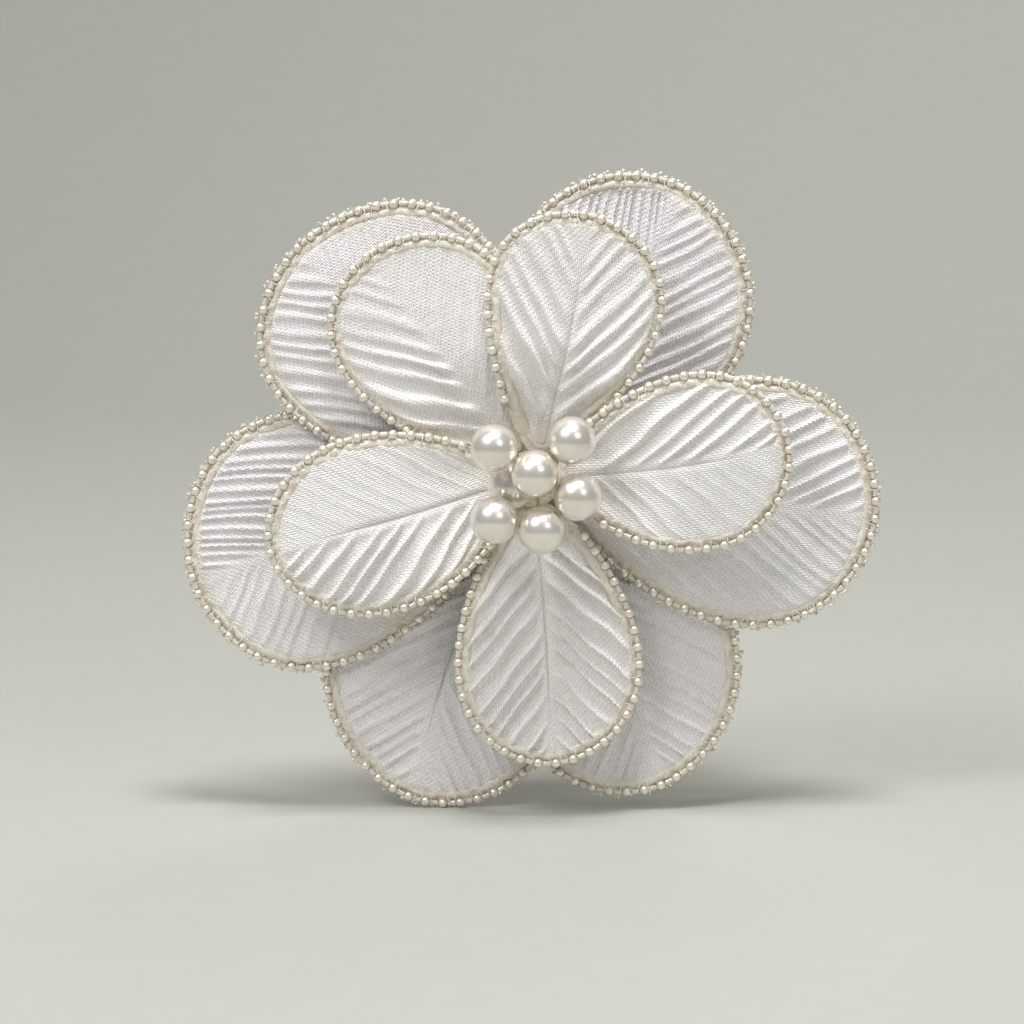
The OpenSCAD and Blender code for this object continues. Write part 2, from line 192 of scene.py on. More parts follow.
class Finish:
    """A material being built: node() adds any node, and the rest are short forms of it."""

    def __init__(self, name):
        self.material = bpy.data.materials.new(name)
        self.material.use_nodes = True
        self.tree = self.material.node_tree
        self.tree.nodes.clear()

    def node(self, kind, settings=None, inputs=None, output=0):
        made = self.tree.nodes.new("ShaderNode" + kind)
        for key, value in (settings or {}).items():
            setattr(made, key, value)
        for key, value in (inputs or {}).items():
            if isinstance(value, Wire):
                self.tree.links.new(value.socket, made.inputs[key])
            else:
                made.inputs[key].default_value = value
        return Wire(self, made.outputs[output])

    def place(self):
        """Where a point is on its object, in metres."""
        return self.node("TexCoord", output=3)

    def held(self, name):
        """A number that the mesh holds at its vertices."""
        return self.node("Attribute", {"attribute_name": name}, output=2)

    def split(self, vector):
        parts = self.node("SeparateXYZ", None, {0: vector})
        return [parts.output(number) for number in range(3)]

    def noise(self, vector, size, detail=2.0, rough=0.5):
        """Noise from 0 to 1 whose lumps are about size across, in metres."""
        return self.node("TexNoise", None, {
            "Vector": vector, "Scale": 1 / size, "Detail": detail, "Roughness": rough})

    def stretched(self, vector, scale):
        return self.node("VectorMath", {"operation": "MULTIPLY"}, {0: vector, 1: scale})

    def between(self, value, low, high, to_low=0.0, to_high=1.0):
        """The value's place between low and high, smoothed and clamped."""
        return self.node("MapRange", {"interpolation_type": "SMOOTHSTEP"}, {
            "Value": value, "From Min": low, "From Max": high, "To Min": to_low, "To Max": to_high})

    def mix(self, factor, first, second):
        return self.node("Mix", {"data_type": "RGBA"}, {0: factor, 6: first, 7: second}, 2)

    def bump(self, height, depth, strength=1.0):
        return self.node("Bump", None, {"Height": height, "Distance": depth, "Strength": strength})

    def shader(self, **sockets):
        """The Principled shader and the material's output, sockets named with _ for a space."""
        named = {key.replace("_", " "): value for key, value in sockets.items()}
        shader = self.node("BsdfPrincipled", None, named)
        end = self.tree.nodes.new("ShaderNodeOutputMaterial")
        self.tree.links.new(shader.socket, end.inputs["Surface"])
        return self.material


def srgb(red, green, blue):
    """A colour written as it looks, from 0 to 255, as the linear colour that shaders take."""
    def linear(c):
        c = c / 255
        return c / 12.92 if c <= 0.04045 else ((c + 0.055) / 1.055) ** 2.4
    return (linear(red), linear(green), linear(blue), 1.0)


def sweep_paper():
    """The matt paper of the table and its backdrop."""
    finish = Finish("sweep_paper")
    grain = finish.noise(finish.place(), 4 * MM, 3)
    colour = finish.mix(grain, srgb(184, 184, 175), srgb(188, 188, 180))
    return finish.shader(Base_Color=colour, Roughness=0.8, Specular_IOR_Level=0.25)


def satin(name, light, shade):
    """Woven satin on the weave's own map: long floats, each tied down a little past the last."""
    finish = Finish(name)
    weave = finish.node("UVMap", {"uv_map": "weave"})
    thread, float_length = 0.36 * MM, 1.0 * MM
    sway = finish.noise(weave, 4 * MM, 2) * (1.2 * thread)
    from_midrib, from_root, _ = finish.split(weave)
    across = (from_midrib + sway) / thread
    along = (from_root + sway) / float_length + across.maths("FLOOR", across) * 0.4
    crown = across.humps() * finish.between(along.humps(), 0.0, 0.75)
    speckle = finish.noise(weave, 0.34 * MM, 2, 0.6)
    slub = finish.noise(finish.stretched(weave, (0.10, 1.0, 1.0)), 0.6 * MM, 2)
    cloud = finish.noise(finish.place(), 7 * MM, 2)

    # painted light: each float's crown is painted lighter, a painted sheen, and the dips between floats
    # darker, a painted shade; the speckle adds painted glints as well as the cloth's own uneven tone,
    # and the slubs add its own uneven tone
    tone = finish.between(crown * 0.45 + speckle * 0.7 + slub * 0.4, 0.55, 0.95)
    colour = finish.mix(tone, shade, light)
    # the cloth is creamier along its binding
    blot = finish.noise(finish.place(), 1.6 * MM, 2, 0.6)
    near_rim = finish.between(finish.held("rim"), 2.3 * MM, 0.2 * MM)
    glue = near_rim * finish.between(blot * 0.6 + cloud * 0.4, 0.35, 0.62)
    colour = finish.mix(glue * 0.55, colour, srgb(240, 226, 206))
    # painted shade: the cloth darker and warmer towards the root, under the centre pearls
    painted_root_shade = finish.between(finish.held("root"), 15 * MM, 6 * MM)
    colour = finish.mix(painted_root_shade * 0.4, colour, srgb(228, 221, 208))
    # a few specks of dust
    cell = finish.node("TexVoronoi", {"feature": "F1"}, {"Vector": weave, "Scale": 1 / (13 * MM)})
    dust = finish.between(cell, 0.017, 0.011) * finish.between(cell.output(1), 0.5, 0.52)
    colour = finish.mix(dust, colour, srgb(60, 56, 52))
    # the fold pressed into the midrib, finer than the mesh can hold: a bump, and painted shade that
    # darkens its crease
    aside = from_midrib.maths("ABSOLUTE", from_midrib + sway * 0.5)
    fold = finish.between(aside, 0.32 * MM, 0.05 * MM) * finish.held("creased")
    colour = finish.mix(fold * 0.5, colour, srgb(196, 190, 178))

    relief = crown * 0.75 + speckle * 1.3 + slub * 0.8 - fold * 1.2
    normal = finish.bump(relief, 0.11 * MM, 1.0)
    rough = finish.between(speckle, 0.2, 0.8, 0.36, 0.56)
    return finish.shader(Base_Color=colour, Roughness=rough, Normal=normal, Metallic=0.03,
                         Specular_IOR_Level=0.55)


def folded_binding():
    """Cream bias tape, caught down by stitches and stained a little by its glue."""
    finish = Finish("folded_binding")
    strip = finish.node("UVMap", {"uv_map": "strip"})
    blot = finish.noise(finish.place(), 1.5 * MM, 3, 0.6)
    fine = finish.noise(strip, 0.22 * MM, 2, 0.6)
    along, around, _ = finish.split(strip)
    thread = ((along + around) / (0.34 * MM)).humps()
    colour = finish.mix(finish.between(blot, 0.35, 0.62), srgb(254, 246, 231), srgb(246, 232, 210))
    colour = finish.mix(finish.between(blot, 0.56, 0.72) * 0.6, colour, srgb(235, 217, 192))
    colour = finish.mix(finish.between(fine, 0.45, 0.65), colour, srgb(255, 252, 244))
    normal = finish.bump(thread * 0.6 + fine * 1.6, 0.12 * MM, 1.0)
    return finish.shader(Base_Color=colour, Roughness=0.38, Normal=normal, Specular_IOR_Level=0.5,
                         Coat_Weight=0.7, Coat_Roughness=0.14)


def nacre(name, light, shade, size, lustre):
    """Pearl lacquer: a soft metallic lustre under a clear polished coat."""
    finish = Finish(name)
    cloud = finish.noise(finish.place(), size, 2)
    colour = finish.mix(finish.between(cloud, 0.35, 0.65), light, shade)
    skin = finish.bump(finish.noise(finish.place(), size / 6, 2), 0.004 * MM, 0.5)
    return finish.shader(Base_Color=colour, Roughness=0.30, Normal=skin, Metallic=lustre,
                         Coat_Weight=1.0, Coat_Roughness=0.07, Coat_IOR=1.6, Specular_IOR_Level=0.6)


def clear_glass(name, colour, clear):
    """Clear glass or thread over cream: it lets what is behind it show, and shines along its top."""
    finish = Finish(name)
    flow = finish.noise(finish.place(), 0.6 * MM, 2)
    normal = finish.bump(flow, 0.03 * MM, 0.6)
    tint = finish.mix(flow * 0.6, colour, srgb(255, 255, 250))
    return finish.shader(Base_Color=tint, Roughness=0.06, Normal=normal, IOR=1.5,
                         Transmission_Weight=clear, Specular_IOR_Level=0.9,
                         Coat_Weight=1.0, Coat_Roughness=0.03)


def metal(name, colour, rough, scratch):
    """Plated sheet or wire with fine rubbed marks along its length."""
    finish = Finish(name)
    place = finish.place()
    rubbed = finish.noise(finish.stretched(place, (0.08, 1.0, 1.0)), scratch, 4, 0.65)
    smudge = finish.noise(place, 3.5 * MM, 3)
    dulled = tuple(0.82 * c for c in colour[:3]) + (1,)
    tone = finish.mix(finish.between(smudge, 0.35, 0.7), colour, dulled)
    normal = finish.bump(rubbed, 0.012 * MM, 0.5)
    roughness = finish.between(rubbed * 0.6 + smudge * 0.4, 0.3, 0.7, rough, rough + 0.16)
    return finish.shader(Base_Color=tone, Roughness=roughness, Normal=normal, Metallic=1.0)


def felt():
    """Wool felt: matted fibres with a short nap."""
    finish = Finish("wool_felt")
    place = finish.place()
    fibre = finish.noise(place, 0.35 * MM, 5, 0.7)
    clump = finish.noise(place, 2.2 * MM, 3)
    colour = finish.mix(finish.between(fibre, 0.3, 0.7), srgb(222, 217, 207), srgb(240, 237, 230))
    colour = finish.mix(finish.between(clump, 0.4, 0.7) * 0.3, colour, srgb(214, 206, 192))
    normal = finish.bump(fibre * 0.7 + clump * 0.5, 0.25 * MM, 0.8)
    return finish.shader(Base_Color=colour, Roughness=0.92, Normal=normal,
                         Sheen_Weight=0.5, Sheen_Roughness=0.5, Specular_IOR_Level=0.2)


def buckram():
    """Stiff open-woven board."""
    finish = Finish("buckram")
    x, _, z = finish.split(finish.place())
    weave = (x / (0.7 * MM)).humps() * (z / (0.7 * MM)).humps()
    colour = finish.mix(finish.between(weave, 0.1, 0.6), srgb(205, 198, 184), srgb(236, 231, 221))
    normal = finish.bump(weave, 0.1 * MM, 0.7)
    return finish.shader(Base_Color=colour, Roughness=0.75, Normal=normal)


def floral_tape():
    """Crepe paper tape, its crimps across its length."""
    finish = Finish("floral_tape")
    place = finish.place()
    crepe = finish.noise(finish.stretched(place, (1.0, 0.3, 1.0)), 0.4 * MM, 3)
    colour = finish.mix(finish.between(crepe, 0.35, 0.65), srgb(196, 186, 160), srgb(228, 221, 203))
    normal = finish.bump(crepe, 0.12 * MM, 0.8)
    return finish.shader(Base_Color=colour, Roughness=0.6, Normal=normal)


FINISHES = {
    "front_satin": satin("front_satin", srgb(255, 253, 252), srgb(237, 233, 230)),
    "back_satin": satin("back_satin", srgb(255, 253, 253), srgb(236, 232, 233)),
    "binding": folded_binding(),
    "edge_pearl": nacre(
        "edge_pearl", srgb(255, 247, 233), srgb(251, 240, 222), size=1.2 * MM, lustre=0.64),
    "centre_pearl": nacre(
        "centre_pearl", srgb(250, 244, 235), srgb(243, 235, 224), size=5 * MM, lustre=0.74),
    "clear_glass": clear_glass("clear_glass", srgb(255, 246, 226), clear=0.3),
    "clear_thread": clear_glass("clear_thread", srgb(253, 249, 238), clear=0.2),
    "bead_wire": metal("bead_wire", srgb(205, 184, 132), rough=0.28, scratch=0.15 * MM),
    "floral_tape": floral_tape(),
    "buckram": buckram(),
    "felt": felt(),
    "clip_steel": metal("clip_steel", srgb(206, 206, 204), rough=0.22, scratch=0.25 * MM),
    "spring_steel": metal("spring_steel", srgb(176, 178, 180), rough=0.20, scratch=0.12 * MM),
}


# ---- shared steps of the modelling ----------------------------------------------------------------

def select_only(*objects):
    """Leaves just these objects selected, the first one active."""
    bpy.ops.object.select_all(action="DESELECT")
    for obj in objects:
        obj.select_set(True)
    if objects:
        bpy.context.view_layer.objects.active = objects[0]


def select_where(obj, kind, test):
    """In edit mode, selects the vertices, edges or faces that pass the test."""
    bpy.ops.mesh.select_mode(type=kind)
    bpy.ops.mesh.select_all(action="DESELECT")
    shape = bmesh.from_edit_mesh(obj.data)
    shape.normal_update()
    for item in {"VERT": shape.verts, "EDGE": shape.edges, "FACE": shape.faces}[kind]:
        if test(item):
            item.select_set(True)
    bmesh.update_edit_mesh(obj.data)


def select_open_edges():
    """In edit mode, selects the edges round every opening."""
    bpy.ops.mesh.select_mode(type="EDGE")
    bpy.ops.mesh.select_all(action="DESELECT")
    bpy.ops.mesh.select_non_manifold()


def shade_smooth(degrees):
    """Shades the object smooth, apart from its edges that are sharper than this."""
    bpy.ops.object.shade_smooth_by_angle(angle=math.radians(degrees))


def end_editing(degrees):
    """Goes back to object mode and shades the object smooth up to this angle."""
    bpy.ops.object.mode_set(mode="OBJECT")
    shade_smooth(degrees)


def finish_piece(obj, body, finish, stands_for=()):
    """Gives a piece its material and a body to ride on, and hides the CAD nodes it stands for."""
    obj.data.materials.clear()
    obj.data.materials.append(FINISHES[finish])
    if body:
        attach(obj, body)
    if stands_for:
        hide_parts(*stands_for)
    return obj


def object_of(name, shape):
    """An object at the origin from a bmesh, which it frees."""
    mesh = bpy.data.meshes.new(name)
    shape.to_mesh(mesh)
    shape.free()
    return add_object(name, mesh)


def islands(node):
    """The middle of each separate solid of a CAD node."""
    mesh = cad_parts[node].data
    co = np.empty(len(mesh.vertices) * 3)
    mesh.vertices.foreach_get("co", co)
    edges = np.empty(len(mesh.edges) * 2, int)
    mesh.edges.foreach_get("vertices", edges)
    grain = 1e-7  # vertices nearer than this are one
    whole = np.round(co.reshape(-1, 3) / grain).astype(np.int64)
    points, merged = np.unique(whole, axis=0, return_inverse=True)
    ends = merged.reshape(-1)[edges].reshape(-1, 2)
    label = np.arange(len(points))
    while True:
        lowest = np.minimum(label[ends[:, 0]], label[ends[:, 1]])
        spread = label.copy()
        np.minimum.at(spread, ends[:, 0], lowest)
        np.minimum.at(spread, ends[:, 1], lowest)
        spread = spread[spread]
        if (spread == label).all():
            break
        label = spread
    solids = [points[label == k] * grain for k in np.unique(label)]
    return [Vector((s.min(0) + s.max(0)) / 2) for s in solids]


# ---- the petals' cloth ----------------------------------------------------------------------------

def spline(points, at):
    """The smooth curve through points[1:-1], at places counted from 0 at points[1]."""
    first = np.clip(np.floor(at).astype(int), 0, len(points) - 4)
    f = (at - first).reshape((-1,) + (1,) * (points.ndim - 1))
    a, b, c, d = (points[first + k] for k in range(4))
    return b + 0.5 * f * (c - a + f * (2 * a - 5 * b + 4 * c - d + f * (3 * (b - c) + d - a)))


def rim_walk(node):
    """A CAD petal's front edge, walked round from its root, its front's points and its thickness."""
    shape = bmesh.new()
    shape.from_mesh(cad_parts[node].data)
    bmesh.ops.remove_doubles(shape, verts=shape.verts, dist=SAME_PLACE)
    shape.normal_update()
    rim = [e for e in shape.edges if sum(f.normal.y < -0.5 for f in e.link_faces) == 1]
    ways = {}
    for edge in rim:
        for vert in edge.verts:
            ways.setdefault(vert, []).append(edge.other_vert(vert))
    root = min(ways, key=lambda v: v.co.xz.length)
    # the first step goes to the left of a traveller from root to tip, as the viewer sees it
    out = root.co.xz
    following = max(ways[root], key=lambda v: out.cross(v.co.xz - root.co.xz))
    walk = [root, following]
    while True:
        following = next(v for v in ways[walk[-1]] if v is not walk[-2])
        if following is root:
            break
        walk.append(following)
    walked = np.array([v.co for v in walk])
    front = np.array([v.co for v in shape.verts if any(f.normal.y < -0.5 for f in v.link_faces)])
    at_root = [v.co.y for v in shape.verts if (v.co.xz - root.co.xz).length < SAME_PLACE]
    thickness = max(at_root) - min(at_root)
    shape.free()
    return walked, front, thickness


def front_grid(node):
    """The front of a CAD petal as rows of points from root to tip, each row from right to left."""
    rim, front, thickness = rim_walk(node)
    rows = len(rim) // 2
    columns = (len(front) - 2) // (rows - 1) - 1
    grid = np.empty((rows + 1, columns + 1, 3))
    for i in range(rows + 1):
        left, right = rim[i], rim[-i]
        for j in range(columns + 1):
            wanted = right + (left - right) * j / columns
            grid[i, j] = front[np.argmin(np.hypot(*(front - wanted)[:, [0, 2]].T))]
    return grid, thickness


def fine_grid(grid, rows, columns):
    """The same surface, smooth, on a finer grid. Past the root and the tip the surface turns over."""
    past = np.concatenate([grid[1:2, ::-1], grid, grid[-2:-1, ::-1]])
    s = np.linspace(0, 1, rows + 1)
    even = 0.5 * s + 0.25 * (1 - np.cos(np.pi * s))  # rows lie closer near the two ends
    at = np.arccos(1 - 2 * even) / np.pi * (len(grid) - 1)
    fine = spline(past, at).transpose(1, 0, 2)
    sides = np.concatenate([2 * fine[:1] - fine[1:2], fine, 2 * fine[-1:] - fine[-2:-1]])
    return spline(sides, np.linspace(0, grid.shape[1] - 1, columns + 1)).transpose(1, 0, 2)


# How one half of a petal is pressed: the ribs' distance apart in mm, how far they lean from the
# midrib, how much less they lean at the tip, their depth in mm at the root and at the tip, and
# how narrow they are: above 0 as ridges, below 0 as grooves
Ribs = namedtuple("Ribs", "pitch lean fan root_depth tip_depth narrow")

# [petal]: left half, right half (as seen going from root to tip), and the depth of the midrib
PRESSING = {
    "back_petal_1": (Ribs(2.6, 45, 6, 0.85, 0.28, -0.8), Ribs(2.6, 40, 10, 0.25, 0.16, 0.3), 0.00),
    "back_petal_2": (Ribs(2.4, 36, 18, 0.60, 0.55, 0.8), Ribs(2.6, 47, 10, 0.60, 0.28, -0.8), 0.30),
    "back_petal_3": (Ribs(3.3, 46, 12, 0.55, 0.52, 0.3), Ribs(2.5, 44, 10, 0.30, 0.24, 0.2), 0.10),
    "back_petal_4": (Ribs(2.6, 48, 8, 0.55, 0.50, 0.5), Ribs(2.6, 48, 8, 0.55, 0.50, 0.5), 0.30),
    "back_petal_5": (Ribs(2.5, 50, 8, 0.58, 0.46, 0.4), Ribs(2.5, 52, 8, 0.60, 0.50, 0.4), 0.35),
    "back_petal_6": (Ribs(2.5, 58, 6, 0.40, 0.30, 0.2), Ribs(2.3, 38, 16, 0.50, 0.48, -0.3), 0.05),
    "front_petal_1": (Ribs(3.1, 46, 4, 1.25, 0.16, -0.9), Ribs(2.8, 40, 4, 0.22, 0.12, 0.3), 0.05),
    "front_petal_2": (Ribs(3.0, 42, 6, 1.35, 0.30, -0.8), Ribs(2.9, 40, 4, 1.15, 0.30, -0.9), 0.30),
    "front_petal_3": (Ribs(3.3, 40, 10, 0.80, 0.72, 0.3), Ribs(3.2, 50, 0, 0.25, 0.06, 0.2), 0.25),
    "front_petal_4": (Ribs(2.9, 50, 8, 1.10, 0.70, 1.0), Ribs(2.8, 47, 8, 1.10, 0.80, 1.0), 0.35),
    "front_petal_5": (Ribs(3.0, 46, 8, 0.95, 0.85, 0.3), Ribs(3.0, 46, 8, 0.12, 0.06, 0.2), 0.35),
}


def smooth_step(low, high, x):
    """From 0 at low to 1 at high, level at both."""
    s = np.clip((x - low) / (high - low), 0, 1)
    return s * s * (3 - 2 * s)


def rib_wave(ribs, u, v, length):
    """Height of one half's ribs at u along the midrib and v away from it, both in mm."""
    lean = np.radians(ribs.lean - ribs.fan * u / length)
    bend = 1 + 0.12 * v / length  # a rib curves as it nears the edge
    from_midrib = u - v / np.tan(lean) * bend
    phase = from_midrib * np.sin(np.radians(ribs.lean)) / ribs.pitch
    # pressed by hand: no two ribs lie quite alike or go quite as deep
    wander = 0.16 * np.sin(1.7 * phase + 9 * ribs.lean) + 0.05 * np.sin(0.9 * v + 3 * ribs.lean)
    phase += wander
    uneven = 1 + 0.22 * np.sin(2.6 * phase + 5 * ribs.lean)
    # each crest is narrower than the valley beside it, and more so with the power
    wave = 0.5 + 0.5 * np.cos(2 * np.pi * phase + 0.75 * np.sin(2 * np.pi * phase))
    power = 1 + 1.6 * abs(ribs.narrow)
    crest = wave ** power if ribs.narrow >= 0 else 1 - (1 - wave) ** power
    towards_tip = smooth_step(0.2, 0.85, u / length)
    depth = ribs.root_depth + (ribs.tip_depth - ribs.root_depth) * towards_tip
    off_midrib = smooth_step(0.1, 2.4, v)
    return depth * uneven * (crest - 0.5) * off_midrib


def pressed_relief(name, u, v, rim):
    """Height of the whole petal's pressing, in mm, with the flats that its edge and root keep."""
    left, right, midrib = PRESSING[name]
    length = u.max()
    aside = np.abs(v)
    relief = np.where(v > 0, rib_wave(left, u, aside, length), rib_wave(right, u, aside, length))
    crease_width = 0.7
    crease = smooth_step(0.80, 0.55, u / length) * np.exp(-(v / crease_width) ** 2)
    # fine gathers fan out from a point behind the root
    ray = np.degrees(np.arctan2(v, u + 7))
    gathers = 0.30 * np.cos(1.9 * ray / 12) * smooth_step(16, 5, u)
    flat_rim, flat_root = smooth_step(0, 1.1, rim), smooth_step(0.5, 4.0, u)
    return (relief - midrib * crease + gathers) * flat_rim * flat_root


def closed_ring(points, count):
    """Evenly spaced points round a closed edge, the ways along it and out from it, and its length."""
    loop = np.concatenate([points, points[:1]])
    steps = np.linalg.norm(np.diff(loop, axis=0), axis=1)
    loop = loop[np.concatenate([[True], steps > SAME_PLACE])]
    lengths = np.concatenate([[0], np.cumsum(np.linalg.norm(np.diff(loop, axis=0), axis=1))])
    at = np.linspace(0, lengths[-1], count, endpoint=False)
    even = np.stack([np.interp(at, lengths, loop[:, k]) for k in range(3)], axis=1)
    ahead = np.roll(even, -1, axis=0) - np.roll(even, 1, axis=0)
    ahead /= np.linalg.norm(ahead, axis=1)[:, None]
    out = np.cross(ahead, [0, 1, 0])
    out /= np.linalg.norm(out, axis=1)[:, None]
    out *= np.sign((out * (even - even.mean(0))).sum())
    return even, ahead, out, lengths[-1]


def ripple(points, seed, size, height):
    """Slow unevenness of hand-pressed cloth."""
    shift = Vector((seed * 7.3, seed * 3.1, seed * 5.7))
    return np.array([noise.noise(Vector(p) / size + shift) for p in points]) * height


def flat_size(face):
    """Width, length and area of the flat cloth that a face is pressed from, measured over its ribs."""
    quads = np.cross(face[1:, 1:] - face[:-1, :-1], face[1:, :-1] - face[:-1, 1:])
    area = np.linalg.norm(quads, axis=2).sum() / 2
    width = np.linalg.norm(np.diff(face, axis=1), axis=2).sum(1).max()
    beside_midrib = face[:, face.shape[1] // 2 + 6]
    length = np.linalg.norm(np.diff(beside_midrib, axis=0), axis=1).sum()
    return float(width), float(length), float(area)


def woven_face(name, face, weave_map, held):
    """A face through a grid whose first and last rows are one point each, with the numbers it holds."""
    rows, columns = face.shape[0] - 1, face.shape[1] - 1
    shape = bmesh.new()
    weave = shape.loops.layers.uv.new("weave")
    layers = {key: shape.verts.layers.float.new(key) for key in held}

    def vertex(i, j):
        vert = shape.verts.new(face[i, j])
        for key, layer in layers.items():
            vert[layer] = held[key][i, j]
        return vert

    verts = [[vertex(i, j) for j in range(columns + 1)] for i in range(1, rows)]
    ends = [vertex(0, columns // 2), vertex(rows, columns // 2)]

    def corner(i, j):
        return ends[0] if i == 0 else ends[1] if i == rows else verts[i - 1][j]

    for i in range(rows):
        for j in range(columns):
            corners = [(i, j), (i, j + 1), (i + 1, j + 1), (i + 1, j)]
            if i == 0:
                corners = corners[1:]
            if i == rows - 1:
                corners = corners[:3]
            made = shape.faces.new([corner(*c) for c in corners])
            made.smooth = True
            for loop, spot in zip(made.loops, corners):
                loop[weave].uv = weave_map[spot]
    bmesh.ops.recalc_face_normals(shape, faces=shape.faces)
    if sum(f.normal.y for f in shape.faces) > 0:
        bmesh.ops.reverse_faces(shape, faces=shape.faces)
    return object_of(name, shape)


def make_cloth(name, seed, lap):
    """One petal: a pressed sheet with its face and its lining, which laps its binding."""
    rows, columns = 168, 104
    grid, thickness = front_grid(name)
    face = fine_grid(grid, rows, columns)
    middle = face[:, columns // 2]
    steps = np.linalg.norm(np.diff(middle, axis=0), axis=1)
    along = np.concatenate([[0], np.cumsum(steps)])
    across = np.linalg.norm((face - middle[:, None])[..., [0, 2]], axis=2)
    across *= np.sign(np.arange(columns + 1) - columns / 2)
    u = np.repeat(along[:, None], columns + 1, axis=1)
    edge = np.concatenate([face[:, 0], face[::-1, -1]])
    spots = face.reshape(-1, 3)
    ring, _, away, _ = closed_ring(edge, count=400)
    apart = ((spots[:, None, ::2] - ring[None, :, ::2]) ** 2).sum(2)
    to_edge = np.sqrt(apart.min(1)).reshape(u.shape)
    outwards = away[apart.argmin(1)].reshape(face.shape)

    lift = pressed_relief(name, u / MM, across / MM, to_edge / MM) * MM
    slow = ripple(spots, seed, size=13 * MM, height=0.35 * MM).reshape(u.shape)
    lift += slow * smooth_step(4 * MM, 16 * MM, u)
    lift += ripple(spots, seed + 40, size=3.5 * MM, height=0.05 * MM).reshape(u.shape)
    face = face + outwards * (lap * smooth_step(6 * MM, 0, to_edge))[..., None]
    face[..., 1] -= lift - 0.16 * MM * smooth_step(0.9 * MM, 0, to_edge)

    cloth = woven_face(name + "_cloth", face, np.stack([across, u], axis=2), {
        "rim": to_edge,
        "root": np.hypot(face[..., 0], face[..., 2]),
        "creased": min(1, 3 * PRESSING[name][2]) * smooth_step(0.92, 0.62, u / along[-1])})
    select_only(cloth)
    wall = cloth.modifiers.new("lining", "SOLIDIFY")
    wall.thickness = thickness
    wall.offset = -1
    bpy.ops.object.modifier_apply(modifier=wall.name)
    return cloth, edge, flat_size(face)


# ---- the binding ----------------------------------------------------------------------------------

# The binding's section in mm: how far out from the cloth's edge, and how far behind its face.
# It is a soft roll, drawn down behind the beads that it carries.
BINDING_SECTION = [
    (-0.15, 0.25), (0.20, 0.08), (0.60, -0.02), (0.90, 0.04), (1.15, 0.26), (1.45, 0.58), (1.90, 0.74),
    (2.20, 0.86), (2.15, 1.04), (1.70, 1.17), (0.80, 1.18), (0.10, 1.06), (-0.15, 0.85)]
BINDING_GIRTH = 6.0 * MM
BEAD_LINE = 1.95 * MM  # how far out from the cloth's edge the beads lie


def make_binding(name, edge, pearls, seed):
    """The cream strip round a petal, drawn in at each pearl, where it is stitched."""
    line, _, out, total = closed_ring(edge, count=330)
    pearls = np.array(pearls)
    sides = len(BINDING_SECTION)
    shape = bmesh.new()
    strip = shape.loops.layers.uv.new("strip")
    rings = []
    for point, away in zip(line, out):
        outer = point + away * BEAD_LINE
        nearest = np.hypot(*(pearls - outer)[:, [0, 2]].T).min() / MM
        drawn_in = 0.18 * math.exp(-(nearest / 0.7) ** 2)  # both in mm
        ring = []
        for reach, behind in BINDING_SECTION:
            behind += drawn_in * (0.3 < reach < 1.5)  # only where the beads press on it
            spot = Vector(point + away * reach * MM + np.array([0, behind * MM, 0]))
            swelling = noise.noise(spot / (1.3 * MM) + Vector((seed, 0, 0))) * 0.22
            crinkle = noise.noise(spot / (0.55 * MM)) * 0.17
            spot += Vector((away[0], -0.8, away[2])) * ((swelling + crinkle) * MM)
            ring.append(shape.verts.new(spot))
        rings.append(ring)
    for i, ring in enumerate(rings):
        following = rings[(i + 1) % len(rings)]
        for k in range(sides):
            n = (k + 1) % sides
            made = shape.faces.new((ring[k], ring[n], following[n], following[k]))
            made.smooth = True
            for loop, (a, b) in zip(made.loops, ((i, k), (i, k + 1), (i + 1, k + 1), (i + 1, k))):
                loop[strip].uv = (a * total / len(rings), b * BINDING_GIRTH / sides)
    bmesh.ops.recalc_face_normals(shape, faces=shape.faces)
    return object_of(name, shape)


# ---- beads ----------------------------------------------------------------------------------------

def wall_the_hole():
    """In edit mode, joins an open bead's two end loops by the wall of its hole."""
    select_open_edges()
    bpy.ops.mesh.bridge_edge_loops()


def round_bead(name, radius, segments, rings):
    """A drilled round bead, its hole along Z."""
    select_only()
    bpy.ops.mesh.primitive_uv_sphere_add(segments=segments, ring_count=rings, radius=radius)
    bead = bpy.context.object
    bead.name = name
    bpy.ops.object.mode_set(mode="EDIT")
    select_where(bead, "VERT", lambda v: abs(v.co.z) > 0.999 * radius)  # the two poles
    bpy.ops.mesh.delete(type="VERT")
    wall_the_hole()
    end_editing(50)
    return bead


def tube_bead(name, radius, length, hole_r, sides):
    """A short glass tube, its rims fire-polished, its hole along Z."""
    select_only()
    bpy.ops.mesh.primitive_cylinder_add(vertices=sides, radius=radius, depth=length)
    bead = bpy.context.object
    bead.name = name
    bpy.ops.object.mode_set(mode="EDIT")
    select_where(bead, "FACE", lambda f: abs(f.normal.z) > 0.9)
    polished = 0.3 * radius
    bpy.ops.mesh.inset(thickness=polished)
    bpy.ops.transform.resize(value=(1, 1, 1.12))
    bpy.ops.mesh.inset(thickness=radius - polished - hole_r)
    bpy.ops.mesh.delete(type="FACE")
    wall_the_hole()
    end_editing(50)
    return bead


def thread_loop(name, radius, thick):
    """Half a turn of clear thread, its loop up along +Z and pressed flatter."""
    select_only()
    bpy.ops.mesh.primitive_torus_add(major_segments=14, minor_segments=5, major_radius=radius,
                                     minor_radius=thick, rotation=(math.pi / 2, 0, 0))
    loop = bpy.context.object
    loop.name = name
    bpy.ops.object.transform_apply(rotation=True)
    bpy.ops.object.mode_set(mode="EDIT")
    select_where(loop, "VERT", lambda v: v.co.z < -0.2 * radius)
    bpy.ops.mesh.delete(type="VERT")
    bpy.ops.mesh.select_mode(type="EDGE")
    bpy.ops.mesh.select_all(action="SELECT")
    bpy.ops.mesh.fill_holes(sides=0)
    bpy.ops.mesh.select_all(action="SELECT")
    bpy.ops.transform.resize(value=(1, 1, 0.3))
    end_editing(60)
    return loop


